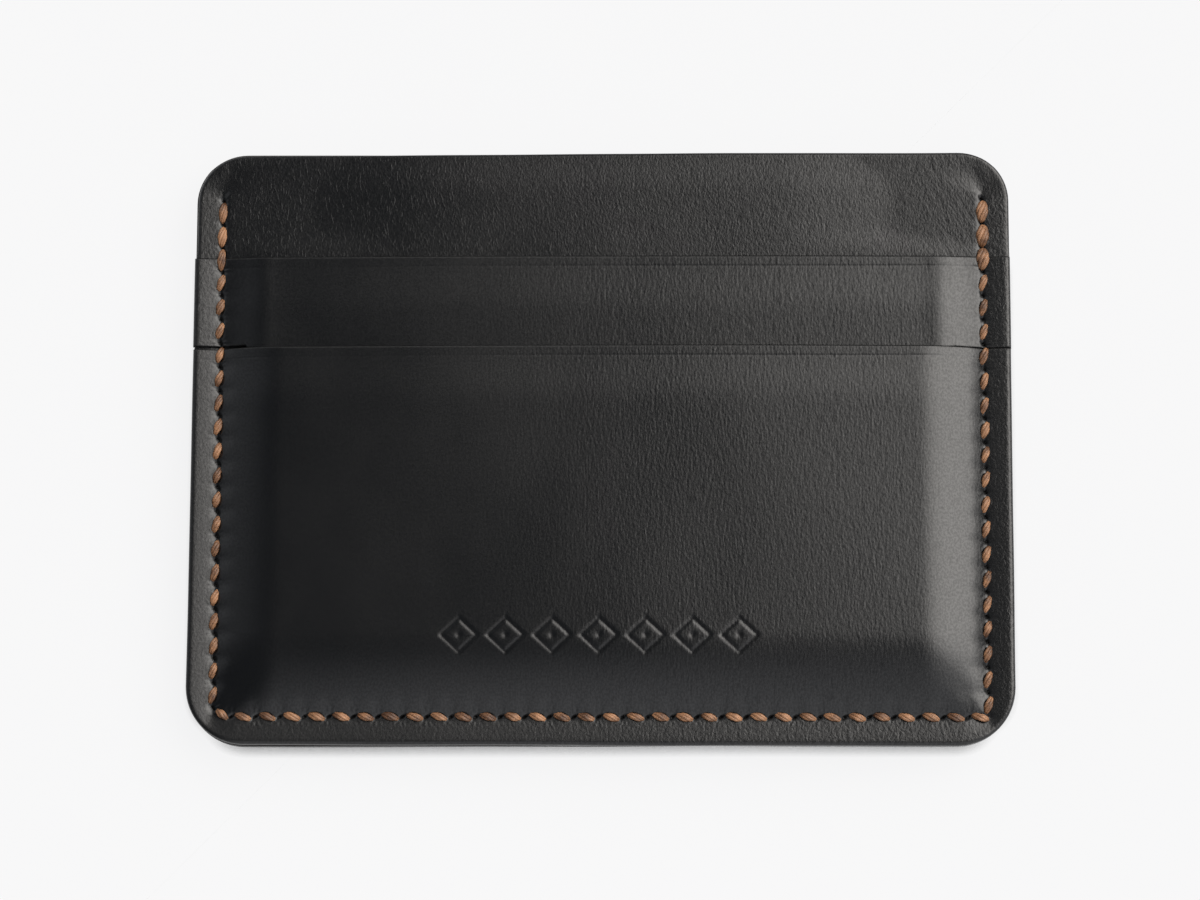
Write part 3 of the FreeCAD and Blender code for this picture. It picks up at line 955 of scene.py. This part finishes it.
def waxed_thread(name, dark, light, roughness):
    """Waxed thread: fine fibres along each ply and uneven dye."""
    shader = Shader(name)
    fibres = shader.noise(shader.scaled(0.12, 0.12, 0.12), 4.0, 0.6, 0.65)
    dye = shader.noise(shader.scaled(2.0, 2.0, 2.0), 2.0)
    blend = shader.sum(shader.times(fibres, 0.4), shader.times(dye, 0.6))
    shader.bump(shader.times(fibres, 0.025 * MM))
    shader.set(Base_Color=shader.mix(shader.step(blend, 0.35, 0.65), dark, light),
               Roughness=shader.step(fibres, 0.3, 0.7, roughness, roughness + 0.15), IOR=1.48)
    return shader.material


# The floor is shaded where the holder, within this many millimetres, hides part of a view that leans
# up and towards +Y. The floor glows fully in an open view, and not at all below this share of it.
SHADE_REACH = 3.1
FULL_SHADE = 0.865


def pale_floor():
    """A plain pale floor with the faintest unevenness, shaded close to the holder."""
    shader = Shader("pale_floor")
    tone = shader.noise(shader.scaled(400, 400, 400), 2.0)
    towards = shader.node("ShaderNodeCombineXYZ", {"Y": 0.894, "Z": 0.447}).outputs[0]
    inputs = {"Distance": SHADE_REACH * MM, "Normal": towards}
    made = shader.node("ShaderNodeAmbientOcclusion", inputs, samples=32)
    openness = shader.step(made.outputs["AO"], FULL_SHADE, 1.0)
    colour = shader.mix(tone, (0.048, 0.048, 0.048, 1), (0.052, 0.052, 0.052, 1))
    glow = shader.mix(tone, (0.866, 0.866, 0.871, 1), (0.871, 0.871, 0.876, 1))
    shader.set(Base_Color=colour, Roughness=0.9, Specular_IOR_Level=0.0,
               Emission_Color=glow, Emission_Strength=openness)
    return shader.material


# ---------------------------------------------------------------- stage

FLOOR_REACH = 6.0


def lay_floor():
    """One large square that the holder lies on, reaching past every view."""
    mesh = bpy.data.meshes.new("floor")
    corners = [(-FLOOR_REACH, -FLOOR_REACH, 0), (FLOOR_REACH, -FLOOR_REACH, 0),
               (FLOOR_REACH, FLOOR_REACH, 0), (-FLOOR_REACH, FLOOR_REACH, 0)]
    mesh.from_pydata(corners, [], [(0, 1, 2, 3)])
    mesh.materials.append(pale_floor())
    floor = bpy.data.objects.new("floor", mesh)
    bpy.context.scene.collection.objects.link(floor)


def heading(azimuth, off_vertical):
    """A direction given by its bearing from +X towards +Y and its angle from straight up, in degrees."""
    bearing = math.radians(azimuth)
    lean = math.radians(off_vertical)
    return Vector((math.sin(lean) * math.cos(bearing), math.sin(lean) * math.sin(bearing), math.cos(lean)))


# The studio's soft lights: the bearing and the angle from straight up of the middle of each, the
# angles from there at which it starts to fade and has faded out, all in degrees, and its colour.
SOFTBOXES = (
    (33, 43, 8, 41, (5.70, 5.50, 5.26)),       # the large warm softbox, to the right and behind
    (-50, 70, 15, 80, (0.40, 0.40, 0.41)),     # a wide pale fill, in front and to the right
    (-58, 60, 5, 60, (0.72, 0.72, 0.74)),      # a narrower fill inside it
    (180, 50, 5, 60, (0.05, 0.055, 0.062)),    # a faint bluish panel on the left
    (135, 74, 10, 52, (0.60, 0.61, 0.63)),     # a low pale panel, behind on the left
    (0, 0, 178, 179, (0.028, 0.034, 0.042)),   # the dim room, the same from everywhere
)


def studio_world():
    """A dim studio lit by softboxes, each a smooth round glow in its own direction."""
    world = bpy.data.worlds.new("studio")
    world.use_nodes = True
    tree = world.node_tree
    direction = tree.nodes.new("ShaderNodeTexCoord").outputs["Generated"]
    total = None
    for azimuth, off_vertical, full_angle, end_angle, colour in SOFTBOXES:
        facing = tree.nodes.new("ShaderNodeVectorMath")
        facing.operation = "DOT_PRODUCT"
        tree.links.new(direction, facing.inputs[0])
        facing.inputs[1].default_value = heading(azimuth, off_vertical)
        fade = tree.nodes.new("ShaderNodeMapRange")
        fade.interpolation_type = "SMOOTHSTEP"
        fade.inputs["From Min"].default_value = math.cos(math.radians(end_angle))
        fade.inputs["From Max"].default_value = math.cos(math.radians(full_angle))
        tree.links.new(facing.outputs["Value"], fade.inputs["Value"])
        glow = tree.nodes.new("ShaderNodeVectorMath")
        glow.operation = "SCALE"
        glow.inputs[0].default_value = colour
        tree.links.new(fade.outputs[0], glow.inputs["Scale"])
        if total is None:
            total = glow.outputs[0]
            continue
        both = tree.nodes.new("ShaderNodeVectorMath")
        tree.links.new(total, both.inputs[0])
        tree.links.new(glow.outputs[0], both.inputs[1])
        total = both.outputs[0]
    tree.links.new(total, tree.nodes["Background"].inputs["Color"])
    bpy.context.scene.world = world


CAMERA_LENS = 118.3
CAMERA_SENSOR = 36.0
CAMERA_PLACE = (0.01455, -0.0834, 0.4767)
CAMERA_TURN = (9.96, 1.73, 0.24)


def set_camera():
    """Nearly straight above, leaning a little towards the viewer."""
    camera_data = bpy.data.cameras.new("camera")
    camera_data.sensor_width = CAMERA_SENSOR
    camera_data.lens = CAMERA_LENS
    camera = bpy.data.objects.new("camera", camera_data)
    camera.location = CAMERA_PLACE
    camera.rotation_euler = [math.radians(a) for a in CAMERA_TURN]
    bpy.context.scene.collection.objects.link(camera)
    bpy.context.scene.camera = camera


# ---------------------------------------------------------------- build

def main():
    """Build every piece, then the stage that it is seen on."""
    flesh = flesh_leather()
    edge = burnished_edge()
    seed = 0
    for side in ("front", "back"):
        for kind in SHEETS:
            seed += 1
            name = side + "_" + kind
            grain = grain_leather(name + "_grain", seed, kind)
            leather_sheet(name, kind, [grain, flesh, edge])
    copper = waxed_thread("copper_thread", (0.060, 0.025, 0.0105, 1), (0.33, 0.165, 0.082, 1), 0.38)
    black = waxed_thread("black_thread", (0.008, 0.008, 0.008, 1), (0.02, 0.02, 0.02, 1), 0.5)
    saddle_stitch(copper)
    hem_stitch("front", black)
    hem_stitch("back", black)
    lay_floor()
    studio_world()
    set_camera()
    bpy.context.scene.view_settings.view_transform = "Standard"


main()
